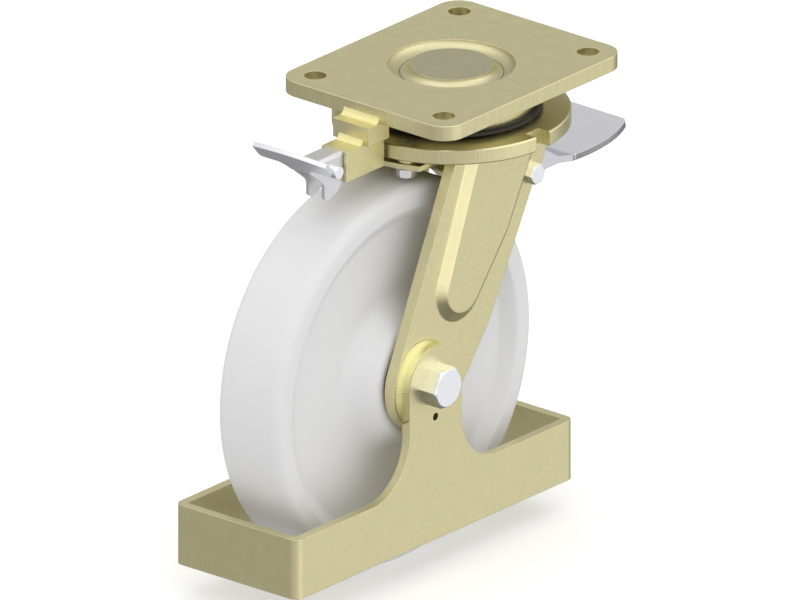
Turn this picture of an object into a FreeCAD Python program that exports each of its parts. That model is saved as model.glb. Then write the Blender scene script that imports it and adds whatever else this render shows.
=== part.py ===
import FreeCAD, Part
import math
import os
import re
import Sketcher
from FreeCAD import Placement, Rotation, Vector

os.makedirs("parts", exist_ok=True)
doc = FreeCAD.newDocument("swivel_castor")

# Driving dimensions in millimetres and degrees. The origin is the middle of the top plate's upper
# face, X is the way the castor travels, Z is up, and levels are given as depths below the origin.
# A size that begins with = follows from the others.
sizes = {
    # running clearance of turning fits, clearance of fits that stand still, gap between moving
    # parts, and how far a cut runs on past a face
    "run_fit": 0.05,
    "still_fit": 0.02,
    "free_gap": 0.3,
    "overcut": 1,
    # top plate with four bolt holes and a dished seat for the kingpin's head
    "plate_length": 175,
    "plate_width": 140,
    "plate_thick": 10,
    "plate_corner": 15,
    "edge_round": 0.3,
    "hole_span_x": 140,
    "hole_span_y": 105,
    "hole_radius": 7,
    "dish_radius": 40.2,
    "dish_floor": 33.2,
    "dish_depth": 5.5,
    "dish_round": 7.2,
    # kingpin
    "kingpin_disc": 26.4,
    "kingpin_head": 32.2,
    "kingpin_sink": 0.5,
    "kingpin_round": 6,
    "kingpin_collar": 24,
    "kingpin_radius": 12.5,
    "kingpin_end": 1.5,
    "kingpin_bevel": 1,
    "collar_bevel": 2,
    # swivel bearing under the plate
    "race_inner": 33,
    "race_outer": 47,
    "race_thick": 5.5,
    "ball_radius": 5,
    "ball_pitch": 40,
    "skirt_radius": 53,
    "skirt_wall": 3,
    "skirt_depth": 15.5,
    "seal_radius": 57.3,
    "seal_inner": 50.5,
    "seal_height": 4.4,
    "seal_bevel": 1.2,
    # locking flange with its four notches, and the hub below it
    "flange_level": 28.5,
    "flange_thick": 10,
    "flange_radius": 75,
    "flange_bevel": 0.8,
    "notch_width": 13,
    "notch_depth": 9,
    "notch_floor": "=flange_radius - notch_depth",
    "hub_radius": 31,
    "hub_bore": 13.5,
    "hub_rise": 6.5,
    "hub_drop": 6.5,
    # roller bearing at the foot of the kingpin, with its washer and slotted nut
    "roller_radius": 2.5,
    "cone_wall": 2.4,
    "cup_radius": 23.5,
    "cup_height": 15,
    "washer_thick": 1.2,
    "washer_inset": 1,
    "nut_radius": 19,
    "nut_height": 7,
    "nut_slot": 4,
    # wheel axle, behind and below the kingpin: the tread's top stands wheel_top below the origin
    "axle_back": 75,
    "wheel_top": 55,
    "axle_level": "=wheel_radius + wheel_top",
    "axle_radius": 8,
    "axle_across": 24,
    "axle_head": 11,
    "axle_nut": 14,
    "axle_tail": 4,
    "axle_pitch": 2,
    "sleeve_radius": 12.5,
    # fork legs with a raised panel: the knee in the front edge stands at a share of the height from
    # the axle up to the neck under the pedal's ear
    "leg_inner": 36,
    "leg_thick": 8,
    "leg_top": 47,
    "leg_round": 33,
    "knee_out": 59.7,
    "neck_out": 0.5,
    "neck_drop": 9,
    "knee_share": 0.2327,
    "knee_up": "=knee_share * (axle_level - pivot_level - neck_drop)",
    "ear_out": 10,
    "ear_rise": 4,
    "panel_rise": 4.5,
    "panel_lean": 53,
    "panel_round": 22,
    "panel_out": 29.5,
    "panel_up": 54.8,
    "panel_back_angle": 159,
    "panel_waist_up": 79,
    "panel_pass": 6.5,
    "panel_pass_angle": 62.1,
    "panel_blend": 2,
    # foot guard round the wheel, with risers over the axle ends, air round the wheel and a lift
    # above the floor
    "guard_wall": 6,
    "guard_air": 4,
    "guard_lift": 20.4,
    "guard_height": 40,
    "guard_reach": "=wheel_radius + guard_air + guard_wall",
    "guard_half": "=leg_inner + leg_thick + guard_wall",
    "guard_drop": "=wheel_radius - guard_lift - guard_height",
    "guard_corner": 6,
    "riser_round": 25.3,
    "riser_sweep": 35.5,
    "riser_hole": 2.5,
    "riser_hole_drop": 22,
    "weld_wide": 7,
    "weld_high": 5.7,
    "weld_start": 50,
    "weld_taper": 15,
    # wheel
    "wheel_radius": 125,
    "wheel_half": 25,
    "wheel_shoulder": 7,
    "rim_wall": 15.5,
    "rim_slope": 9.5,
    "rim_inner": "=wheel_radius - rim_wall",
    "web_outer": "=rim_inner - rim_slope",
    "web_half": 17.5,
    "web_inner": 54,
    "hub_foot": 43,
    "hub_foot_half": 30,
    "hub_end": 38.5,
    "hub_half": 33.5,
    "bore_radius": 21,
    "bearing_radius": 26,
    "bearing_width": 15,
    "bearing_sink": 1,
    "hub_seal_radius": 32.5,
    "hub_seal_thick": 2.2,
    # brake pedal, which turns on a bolt through the legs' front ears, pivot_rise above the tread
    "pivot_front": 25.5,
    "pivot_rise": 24,
    "pivot_level": "=axle_level - sqrt((wheel_radius + pivot_rise) ^ 2 - (axle_back + pivot_front) ^ 2)",
    "pivot_radius": 4,
    "pivot_across": 12,
    "pivot_head": 5.3,
    "pivot_tail": 2.5,
    "pivot_pitch": 1.25,
    "pedal_hub": 10,
    "neck_half": 30,
    "pedal_wall": 3.6,
    "pedal_bend": 8,
    "fold_front": 54,
    "fold_rise": 3.5,
    "fold_level": "=pivot_level - fold_rise",
    "toe_front": 68.5,
    "toe_drop": 6,
    "toe_level": "=pivot_level + toe_drop",
    "tread_front": 82.3,
    "tread_drop": 9.3,
    "tread_level": "=pivot_level + tread_drop",
    "tread_length": 52,
    "tread_half": 36,
    "tread_thick": 4,
    "tread_tilt": 9.5,
    "tread_lip": 1,
    "tread_curl": 3,
    "tread_sweep": 51.6,
    "tread_corner": 5.5,
    "cheek_drop": 10.5,
    "cheek_level": "=pivot_level + cheek_drop",
    # the pedal's cam: its tip comes to rest free_gap above the brake leaf, at this angle from +X
    "cam_reach": 17.6,
    "cam_round": 3,
    "cam_half": 20,
    "axle_span": "=wheel_radius + pivot_rise",
    "cam_span": "=wheel_radius + leaf_gap + leaf_thick + free_gap + cam_round",
    "cam_angle": "=180 + (atan((axle_level - pivot_level) / (axle_back + pivot_front))"
                 " + acos((axle_span ^ 2 + cam_reach ^ 2 - cam_span ^ 2) / (2 * axle_span * cam_reach)))"
                 " / 1 deg",
    # brake leaf, bolted under the flange and bent round the wheel
    "leaf_half": 30.5,
    "leaf_thick": 3.5,
    "leaf_level": 41,
    "leaf_gap": 7.4,
    "leaf_setback": 1,
    "leaf_flat": 23,
    "leaf_step": 7,
    "leaf_bolt_inset": 10,
    "leaf_edge": "=flange_radius - leaf_setback",
    "leaf_bend_back": "=flange_radius - leaf_flat",
    "leaf_bend_front": "=leaf_bend_back - leaf_step",
    "leaf_end_angle": 41,
    "leaf_bolt_back": "=flange_radius - leaf_bolt_inset",
    "leaf_bolt_side": 18,
    "leaf_play": 0.65,
    "spacer_radius": 6,
    # directional lock: blocks at the plate's rear edge, bolt, drawbar and lever behind the flange
    "block_overhang": 10.5,
    "block_lap": 9.5,
    "block_out": "=plate_length / 2 + block_overhang",
    "block_in": "=plate_length / 2 - block_lap",
    "block_half": 14.5,
    "block_height": 12.4,
    "guide_gap": 2.5,
    "guide_length": 36.8,
    "guide_in": "=flange_radius + guide_gap",
    "guide_out": "=guide_in + guide_length",
    "guide_half": 10,
    "guide_height": 20.2,
    "plate_bead": 4.5,
    "block_bead": 4,
    "latch_radius": 6.2,
    "latch_gap": 0.4,
    "latch_length": 24.6,
    "latch_stroke": 5.6,
    "rod_radius": 4,
    "rod_bury": 14,
    "rod_play": 1,
    "dowel_radius": 1.5,
    "dowel_back": 20.1,
    "pin_reach": 7.7,
    "lever_pin_out": "=guide_out + pin_reach",
    "lever_pin_radius": 3,
    "lever_pin_head": 4.05,
    "lever_pin_end": 11,
    "eye_half": 4.9,
    "eye_round": 6.2,
    "lever_half": 7.6,
    "lever_wall": 2.4,
    "lever_rise": 11.7,
    "lever_turn": 66,
    "lever_lift": 6.2,
    "prong_out": 10.4,
    "prong_drop": 17.3,
    "prong_top": 8.9,
    "prong_corner": 3,
    "sweep_out": 2.6,
    "sweep_rise": 5.3,
    "blade_reach": 36.6,
    "blade_out": "=lever_pin_out + blade_reach",
    "blade_level": 14.4,
    "blade_tilt": 40.5,
    "blade_half": 29.6,
    "blade_end": 11.5,
    "blade_corner": 2.5,
    "blade_web": 17,
    "blade_flare": 10,
    "blade_lap": 8,
    "blade_thick": 3.2,
    "blade_arch": 2,
}

sheet = doc.addObject("Spreadsheet::Sheet", "sizes")
for row, name in enumerate(sizes, start=1):
    sheet.set(f"A{row}", name)
    sheet.setAlias(f"B{row}", name)
for row, size in enumerate(sizes.values(), start=1):
    sheet.set(f"B{row}", str(size))
doc.recompute()

words = re.compile(r"\b[a-z]\w*\b")
near_enough = 1e-3
subparts = []


# A size formula in the sheet's own words: every size named in the text is looked up in the sheet.
def formula(text):
    return words.sub(lambda word: "sizes." + word[0] if word[0] in sizes else word[0], str(text))


def value(text):
    result = sheet.evalExpression(formula(text))
    return float(getattr(result, "Value", result))


def bind(thing, prop, text):
    thing.setExpression(prop, formula(text))


def subpart(thing, label):
    thing.Label = label
    subparts.append(thing)
    return thing


def new_body(label):
    body = doc.addObject("PartDesign::Body", label)
    return subpart(body, label)


def origin_plane(body, role):
    return next(plane for plane in body.Origin.OriginFeatures if plane.Role == role)


# A sketch on one of the body's origin planes, lifted along the plane's normal:
# XY looks down from +Z, XZ looks from -Y and YZ looks from +X.
def new_sketch(body, plane, lift="0"):
    sketch = body.newObject("Sketcher::SketchObject", body.Label + "_sketch")
    sketch.AttachmentSupport = [(origin_plane(body, plane + "_Plane"), "")]
    sketch.MapMode = "FlatFace"
    bind(sketch, "AttachmentOffset.Base.z", lift)
    return sketch


def pin_down(sketch, edge, tip, x, y):
    for kind, text in (("DistanceX", x), ("DistanceY", y)):
        index = sketch.addConstraint(Sketcher.Constraint(kind, -1, 1, edge, tip, value(text)))
        bind(sketch, f"Constraints[{index}]", text)


def set_radius(sketch, edge, radius):
    index = sketch.addConstraint(Sketcher.Constraint("Radius", edge, value(radius)))
    bind(sketch, f"Constraints[{index}]", radius)


# An arc of under half a turn from start to finish, to the left (1) or to the right (-1).
def arc_between(start, finish, radius, turn):
    half = (finish - start) / 2
    side = Vector(-half.y, half.x, 0).normalize() * turn
    centre = start + half + side * math.sqrt(radius ** 2 - half.Length ** 2)
    ends = [start, finish] if turn > 0 else [finish, start]
    first, last = (math.atan2(end.y - centre.y, end.x - centre.x) for end in ends)
    last += math.tau if last < first else 0
    return Part.ArcOfCircle(Part.Circle(centre, Vector(0, 0, 1), radius), first, last)


# A closed outline. A corner is (x, y), or (x, y, radius, turn) where an arc leads on to the next.
def outline(sketch, corners):
    places = [Vector(value(corner[0]), value(corner[1]), 0) for corner in corners]
    edges = []
    for corner, start, finish in zip(corners, places, places[1:] + places[:1]):
        if len(corner) == 2:
            edges.append((sketch.addGeometry(Part.LineSegment(start, finish)), 1, 2))
            continue
        turn = corner[3]
        edge = sketch.addGeometry(arc_between(start, finish, value(corner[2]), turn))
        edges.append((edge, 1, 2) if turn > 0 else (edge, 2, 1))
        set_radius(sketch, edge, corner[2])
    for index, (edge, tip, _) in enumerate(edges):
        before, _, end = edges[index - 1]
        sketch.addConstraint(Sketcher.Constraint("Coincident", before, end, edge, tip))
        pin_down(sketch, edge, tip, corners[index][0], corners[index][1])


def circle(sketch, x, y, radius):
    place = Vector(value(x), value(y), 0)
    edge = sketch.addGeometry(Part.Circle(place, Vector(0, 0, 1), value(radius)))
    pin_down(sketch, edge, 3, x, y)
    set_radius(sketch, edge, radius)


def box_corners(left, right, low, high):
    return [(left, low), (right, low), (right, high), (left, high)]


def hexagon_corners(across, turn=0):
    angles = range(turn, turn + 360, 60)
    return [(f"{across} / sqrt(3) * cos({a})", f"{across} / sqrt(3) * sin({a})") for a in angles]


# Pad and pocket a sketch by a length: along its normal, against it, or half to each side.
def pad(body, sketch, length, way="along"):
    feature = body.newObject("PartDesign::Pad", body.Label + "_pad")
    feature.Profile = sketch
    feature.SideType = "Symmetric" if way == "both" else "One side"
    feature.Reversed = way == "against"
    bind(feature, "Length", length)
    doc.recompute()
    return feature


def check_cut(feature, volume):
    doc.recompute()
    if feature.Shape.Volume > volume - 0.01:
        raise ValueError(feature.Label + " cuts nothing")
    return feature


def pocket(body, sketch, length, way="both"):
    volume = body.Shape.Volume
    feature = body.newObject("PartDesign::Pocket", body.Label + "_pocket")
    feature.Profile = sketch
    feature.SideType = "Symmetric" if way == "both" else "One side"
    feature.Reversed = way == "along"
    bind(feature, "Length", length)
    return check_cut(feature, volume)


def revolve(body, sketch, angle=360):
    feature = body.newObject("PartDesign::Revolution", body.Label + "_revolution")
    feature.Profile = sketch
    feature.ReferenceAxis = (sketch, ["V_Axis"])
    feature.Angle = angle
    doc.recompute()
    return feature


def groove(body, sketch):
    volume = body.Shape.Volume
    feature = body.newObject("PartDesign::Groove", body.Label + "_groove")
    feature.Profile = sketch
    feature.ReferenceAxis = (sketch, ["V_Axis"])
    feature.Angle = 360
    return check_cut(feature, volume)


def polar(body, original, count):
    feature = body.newObject("PartDesign::PolarPattern", body.Label + "_pattern")
    feature.Originals = [original]
    feature.Axis = (original.Profile[0], ["N_Axis"])
    feature.Angle = 360
    feature.Occurrences = count
    body.Tip = feature
    doc.recompute()


def mirror_feature(body, original, role):
    feature = body.newObject("PartDesign::Mirrored", body.Label + "_mirror")
    feature.Originals = [original]
    feature.MirrorPlane = (origin_plane(body, role), [""])
    body.Tip = feature
    doc.recompute()


# Round or bevel the edges of the body's last feature whose middle and direction pass the test.
def dress(body, kind, size, test):
    base = body.Tip
    names = [f"Edge{number}" for number, edge in enumerate(base.Shape.Edges, start=1) if test(edge)]
    feature = body.newObject("PartDesign::" + kind, body.Label + "_" + kind.lower())
    feature.Base = (base, names)
    bind(feature, "Radius" if kind == "Fillet" else "Size", size)
    doc.recompute()
    return feature


def is_upright(edge):
    box = edge.BoundBox
    return math.hypot(box.XLength, box.YLength) < near_enough


# A test that picks the edges which run along Y through one of some points of the side view.
def across_at(*points):
    places = [Vector(value(x), 0, value(z)) for x, z in points]

    def test(edge):
        box = edge.BoundBox
        middle = Vector(box.Center.x, 0, box.Center.z)
        straight = math.hypot(box.XLength, box.ZLength) < near_enough
        return straight and any(middle.distanceToPoint(place) < near_enough for place in places)

    return test


# The radius of an arc that sets out along one direction and strays sideways from it by a distance.
def tangent_radius(along, sideways):
    return f"((({along}) ^ 2 + ({sideways}) ^ 2) / (2 * ({sideways})))"


# Stand a body made round its own Z axis on a world axis: near points it at -Y and far at +Y.
turns = {"near": Rotation(Vector(1, 0, 0), 90), "far": Rotation(Vector(1, 0, 0), -90)}


def place(thing, x, y, z, turn=Rotation()):
    thing.Placement = Placement(Vector(value(x), value(y), value(z)), turn)
    for letter, text in zip("xyz", (x, y, z)):
        bind(thing, f"Placement.Base.{letter}", text)


def on_axle(thing, side="near"):
    place(thing, "-axle_back", "0", "-axle_level", turns[side])


def turned(label, corners):
    body = new_body(label)
    sketch = new_sketch(body, "XZ")
    outline(sketch, corners)
    revolve(body, sketch)
    return body


def mirrored(source, label):
    copy = doc.addObject("Part::Mirroring", label)
    copy.Source = source
    copy.Normal = Vector(0, 1, 0)
    return subpart(copy, label)


def grouped(label, members):
    group = doc.addObject("Part::Compound", label)
    group.Links = members
    return subpart(group, label)


# A turned bevel on a hexagon's corners, at the face that lies at the given height.
def hex_bevel(body, across, face, inward):
    sketch = new_sketch(body, "XZ")
    flat, reach, depth = f"0.5 * {across}", f"0.62 * {across}", f"0.07 * {across}"
    outline(sketch, [(flat, face), (reach, face), (reach, f"{face} - {inward} * {depth}")])
    groove(body, sketch)


def hex_bolt(label, across, head, shank, length):
    body = new_body(label)
    head_sketch = new_sketch(body, "XY")
    outline(head_sketch, hexagon_corners(across))
    pad(body, head_sketch, head)
    hex_bevel(body, across, head, 1)
    shank_sketch = new_sketch(body, "XY")
    circle(shank_sketch, "0", "0", shank)
    pad(body, shank_sketch, length, "against")
    dress(body, "Chamfer", f"{shank} / 8", lambda edge: edge.BoundBox.ZMax < -value(length) + near_enough)
    return body


# The end of a bolt beyond its nut, turned down to the core of a thread of the given pitch.
def turn_down(body, shank, length, tail, pitch):
    sketch = new_sketch(body, "XZ")
    outline(sketch, box_corners(f"{shank} - 0.61 * {pitch}", f"{shank} + overcut",
                                f"-({length}) - overcut", f"-({length}) + {tail}"))
    groove(body, sketch)


def hex_nut(label, across, height, bore):
    body = new_body(label)
    sketch = new_sketch(body, "XY")
    outline(sketch, hexagon_corners(across))
    circle(sketch, "0", "0", bore)
    pad(body, sketch, height)
    hex_bevel(body, across, height, 1)
    return body


# Levels and radii that several pieces share, as formulas of the driving sizes.
ball_level = "((plate_thick + flange_level) / 2)"
groove_half = f"sqrt((ball_radius + run_fit) ^ 2 - ({ball_level} - plate_thick - race_thick) ^ 2)"
flange_under = "(flange_level + flange_thick)"
hub_under = f"({flange_under} + hub_drop)"
cup_level = f"({hub_under} - cup_height)"
cone_under = f"({hub_under} + free_gap)"
nut_under = f"({cone_under} + washer_thick + nut_height)"
roller_pitch = "(kingpin_radius + cone_wall + run_fit + roller_radius)"
lock_level = "(flange_level + flange_thick / 2)"
block_under = "(plate_thick + block_height)"
leg_outer = "(leg_inner + leg_thick)"
guard_top = "(-guard_drop)"


# Top plate: rounded corners, four holes, and a dished seat that the kingpin's head sinks into.
def make_top_plate():
    body = new_body("top_plate")
    half_x, half_y = "plate_length / 2", "plate_width / 2"
    sketch = new_sketch(body, "XY")
    outline(sketch, box_corners("-" + half_x, half_x, "-" + half_y, half_y))
    pad(body, sketch, "plate_thick", "against")
    dress(body, "Fillet", "plate_corner", is_upright)
    dress(body, "Fillet", "edge_round", lambda edge: not is_upright(edge))
    seat = new_sketch(body, "XZ")
    collar = "kingpin_collar + still_fit"
    outline(seat, [
        ("0", "-plate_thick - overcut"),
        (collar, "-plate_thick - overcut"),
        (collar, "-dish_depth"),
        ("dish_floor", "-dish_depth", "dish_round", -1),
        ("dish_radius", "0"),
        ("dish_radius", "overcut"),
        ("0", "overcut"),
    ])
    groove(body, seat)
    holes = new_sketch(body, "XY")
    for x in ("-hole_span_x / 2", "hole_span_x / 2"):
        for y in ("-hole_span_y / 2", "hole_span_y / 2"):
            circle(holes, x, y, "hole_radius")
    pocket(body, holes, "3 * plate_thick")


# Kingpin: a flush disc with a rounded shoulder, a collar through the plate and the long shank.
def make_kingpin():
    turned("kingpin", [
        ("0", f"-{nut_under} - kingpin_end"),
        ("kingpin_radius - kingpin_bevel", f"-{nut_under} - kingpin_end"),
        ("kingpin_radius", f"-{nut_under} - kingpin_end + kingpin_bevel"),
        ("kingpin_radius", "-plate_thick - collar_bevel"),
        ("kingpin_collar - collar_bevel", "-plate_thick"),
        ("kingpin_collar", "-plate_thick"),
        ("kingpin_collar", "-dish_depth"),
        ("kingpin_head", "-dish_depth", "kingpin_round", 1),
        ("kingpin_disc", "-kingpin_sink"),
        ("0", "-kingpin_sink"),
    ])


# Thrust bearing: a grooved race under the plate, one on the flange, and the balls between them.
def make_thrust_bearing():
    inner, outer = f"ball_pitch - {groove_half}", f"ball_pitch + {groove_half}"
    top, top_face = "-plate_thick", "-plate_thick - race_thick"
    low, low_face = "-flange_level", "-flange_level + race_thick"
    radius = "ball_radius + run_fit"
    turned("upper_race", [
        ("race_inner", top), ("race_inner", top_face), (inner, top_face, radius, -1),
        (outer, top_face), ("race_outer", top_face), ("race_outer", top),
    ])
    turned("lower_race", [
        ("race_inner", low), ("race_outer", low), ("race_outer", low_face),
        (outer, low_face, radius, -1), (inner, low_face), ("race_inner", low_face),
    ])
    count = math.floor(math.tau * value("ball_pitch") / value("2.15 * ball_radius"))
    balls = []
    for index in range(count):
        ball = doc.addObject("Part::Sphere", f"ball_{index}")
        bind(ball, "Radius", "ball_radius")
        angle = 360 * index / count
        place(ball, f"ball_pitch * cos({angle})", f"ball_pitch * sin({angle})", f"-{ball_level}")
        balls.append(ball)
    grouped("thrust_balls", balls)


# Skirt and rubber seal that close the bearing off at the outside.
def make_skirt():
    skirt_under = "plate_thick + skirt_depth"
    turned("bearing_skirt", box_corners("skirt_radius - skirt_wall", "skirt_radius",
                                        f"-({skirt_under})", "-plate_thick"))
    low = "-flange_level + free_gap"
    high = f"{low} + seal_height"
    turned("bearing_seal", [
        ("seal_inner", low),
        ("seal_radius - seal_bevel", low),
        ("seal_radius", f"{low} + seal_bevel"),
        ("seal_radius", f"{high} - seal_bevel"),
        ("seal_radius - seal_bevel", high),
        ("skirt_radius + still_fit", high),
        ("skirt_radius + still_fit", f"-({skirt_under}) - still_fit"),
        ("seal_inner", f"-({skirt_under}) - still_fit"),
    ])


# Fork head: the round locking flange with four notches, on the hub that holds the lower bearing.
def make_fork_head():
    hub_top = "-flange_level + hub_rise"
    edge = "flange_radius - flange_bevel"
    body = turned("fork_head", [
        ("hub_bore", hub_top),
        ("hub_bore", f"-{cup_level}"),
        ("cup_radius + still_fit", f"-{cup_level}"),
        ("cup_radius + still_fit", f"-{hub_under}"),
        ("hub_radius", f"-{hub_under}"),
        ("hub_radius", f"-{flange_under}"),
        (edge, f"-{flange_under}"),
        ("flange_radius", f"-{flange_under} + flange_bevel"),
        ("flange_radius", "-flange_level - flange_bevel"),
        (edge, "-flange_level"),
        ("hub_radius", "-flange_level"),
        ("hub_radius", hub_top),
    ])
    sketch = new_sketch(body, "XY", "-flange_level")
    half = "notch_width / 2"
    outline(sketch, box_corners("notch_floor", "flange_radius + overcut", "-" + half, half))
    polar(body, pocket(body, sketch, "3 * flange_thick"), 4)
    holes = new_sketch(body, "XY", "-flange_level")
    for side in ("-leaf_bolt_side", "leaf_bolt_side"):
        circle(holes, "-leaf_bolt_back", side, "pivot_radius + still_fit")
    pocket(body, holes, "3 * flange_thick")


# Roller bearing at the foot of the kingpin: cup in the hub, cone on the pin, rollers between them.
def make_kingpin_bearing():
    top, low = f"-{cup_level}", f"-{hub_under}"
    turned("bearing_cup", box_corners(f"{roller_pitch} + roller_radius + run_fit", "cup_radius", low, top))
    turned("bearing_cone", box_corners("kingpin_radius + still_fit", "kingpin_radius + cone_wall",
                                       f"-{cone_under}", f"{top} - free_gap"))
    count = math.floor(math.tau * value(roller_pitch) / value("2.3 * roller_radius"))
    rollers = []
    for index in range(count):
        roller = doc.addObject("Part::Cylinder", f"roller_{index}")
        bind(roller, "Radius", "roller_radius")
        bind(roller, "Height", "cup_height - 2 * free_gap")
        angle = 360 * index / count
        place(roller, f"{roller_pitch} * cos({angle})", f"{roller_pitch} * sin({angle})", f"{low} + free_gap")
        rollers.append(roller)
    grouped("bearing_rollers", rollers)


# Washer and slotted nut that hold the bearing on the kingpin.
def make_kingpin_nut():
    bore = "kingpin_radius + still_fit"
    turned("kingpin_washer", box_corners(bore, "nut_radius - washer_inset", f"-{cone_under} - washer_thick",
                                         f"-{cone_under}"))
    body = turned("kingpin_nut", box_corners(bore, "nut_radius", f"-{nut_under}",
                                             f"-{nut_under} + nut_height"))
    sketch = new_sketch(body, "XY", f"-{nut_under}")
    half = "nut_slot / 2"
    outline(sketch, box_corners(f"nut_radius - {half}", "nut_radius + overcut", "-" + half, half))
    polar(body, pocket(body, sketch, "3 * nut_height"), 4)


# The point where a line from a given point touches a circle, on its left (1) or right (-1) side.
def touch_point(centre, radius, point, side):
    across, rise = (f"({a} - ({b}))" for a, b in zip(point, centre))
    reach = f"acos({radius} / sqrt({across} ^ 2 + {rise} ^ 2))"
    angle = f"(atan2({rise}; {across}) + {side} * {reach})"
    return f"{centre[0]} + {radius} * cos{angle}", f"{centre[1]} + {radius} * sin{angle}"


axle = ("-axle_back", "-axle_level")
pivot = ("pivot_front", "-pivot_level")


# One fork leg: a plate that narrows from the flange to a round end at the axle, with a front ear
# for the pedal's bolt and a panel pressed outward, hollow behind.
def make_legs():
    body = new_body("fork_leg_right")
    back_top = ("-leg_top", f"-{flange_under}")
    knee = ("-axle_back + knee_out", "-axle_level + knee_up")
    neck = ("pivot_front + neck_out", "-pivot_level - neck_drop")
    sketch = new_sketch(body, "XZ", "leg_inner")
    outline(sketch, [
        back_top,
        (*touch_point(axle, "leg_round", back_top, 1), "leg_round", 1),
        touch_point(axle, "leg_round", knee, -1),
        knee,
        neck,
        ("pivot_front + ear_out", "-pivot_level + ear_rise"),
        ("leg_top", f"-{flange_under}"),
    ])
    pad(body, sketch, "leg_thick")
    dress(body, "Fillet", "leg_round", across_at(knee, neck))
    feet = []
    for lift, shape_it in ((leg_outer, pad), ("leg_inner", pocket)):
        panel = new_sketch(body, "XZ", lift)
        outline(panel, panel_corners())
        bind(shape_it(body, panel, "panel_rise", "along"), "TaperAngle", "-panel_lean")
        doc.recompute()
        feet += panel.Shape.Edges
    above = new_sketch(body, "XZ", "leg_inner - overcut")
    outline(above, box_corners("-2 * leg_top", "2 * leg_top", f"-{flange_under}", "0"))
    pocket(body, above, "2 * leg_thick + panel_rise", "along")
    crests = [-value(f"{level} + panel_rise") for level in (leg_outer, "leg_inner")]

    # The foot and the crest of the panel's slope, outside and in its hollow.
    def is_panel_edge(edge):
        middle = edge.valueAt((edge.FirstParameter + edge.LastParameter) / 2)
        if edge.BoundBox.ZLength < near_enough or edge.BoundBox.YLength > near_enough:
            return False
        on_crest = any(abs(middle.y - crest) < near_enough for crest in crests)
        return on_crest or any(foot.distToShape(Part.Vertex(middle))[0] < near_enough for foot in feet)

    dress(body, "Fillet", "panel_blend", is_panel_edge)
    bores = new_sketch(body, "XZ", "leg_inner")
    circle(bores, *axle, "axle_radius + still_fit")
    circle(bores, *pivot, "pivot_radius + still_fit")
    circle(bores, "-axle_back", "-axle_level - riser_hole_drop", "riser_hole")
    pocket(body, bores, "4 * leg_thick")
    mirrored(body, "fork_leg_left")


# The pressed panel: two leaning sides joined by a round foot, open at the top. The front side has
# a waist, and passes the pedal's pivot at a set distance.
def panel_corners():
    centre = ("(-axle_back + panel_out)", "(-axle_level + panel_up)")
    back = "panel_back_angle"
    back_foot = (f"{centre[0]} + panel_round * cos({back})", f"{centre[1]} + panel_round * sin({back})")
    top = "-flange_level"

    def front_side(level):
        across = f"({level} + pivot_level) / tan(panel_pass_angle)"
        return f"pivot_front - panel_pass / sin(panel_pass_angle) + {across}", level

    waist = front_side("(-axle_level + panel_waist_up)")
    return [
        (f"{back_foot[0]} + ({top} - ({back_foot[1]})) / tan({back} - 90)", top),
        (*back_foot, "panel_round", 1),
        touch_point(centre, "panel_round", waist, -1),
        waist,
        front_side(top),
    ]


# Foot guard: a rectangular band round the wheel whose sides rise over the axle ends.
def make_foot_guard():
    body = new_body("foot_guard")
    sketch = new_sketch(body, "XY", f"{guard_top} - guard_height")
    outline(sketch, box_corners("-guard_reach", "guard_reach", "-guard_half", "guard_half"))
    pad(body, sketch, "guard_height")
    dress(body, "Fillet", "guard_corner", is_upright)
    inside = new_sketch(body, "XY", f"{guard_top} - guard_height")
    half_x, half_y = "(guard_reach - guard_wall)", "(guard_half - guard_wall)"
    outline(inside, box_corners(f"-{half_x}", half_x, f"-{half_y}", half_y))
    pocket(body, inside, "3 * guard_height")
    foot = "(riser_round + riser_sweep)"
    for lift in ("guard_half - guard_wall", "-guard_half"):
        side = new_sketch(body, "XZ", lift)
        outline(side, [
            (f"-{foot}", guard_top, "riser_sweep", 1),
            ("-riser_round", f"{guard_top} + riser_sweep"),
            ("-riser_round", "0", "riser_round", -1),
            ("0", "riser_round", "riser_round", -1),
            ("riser_round", "0"),
            ("riser_round", f"{guard_top} + riser_sweep", "riser_sweep", 1),
            (foot, guard_top),
            (foot, f"{guard_top} - guard_wall"),
            (f"-{foot}", f"{guard_top} - guard_wall"),
        ])
        pad(body, side, "guard_wall")
    holes = new_sketch(body, "XZ")
    circle(holes, "0", "0", "axle_radius + still_fit")
    circle(holes, "0", "-riser_hole_drop", "riser_hole")
    pocket(body, holes, "3 * guard_half")
    place(body, "-axle_back", "0", "-axle_level")


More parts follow.
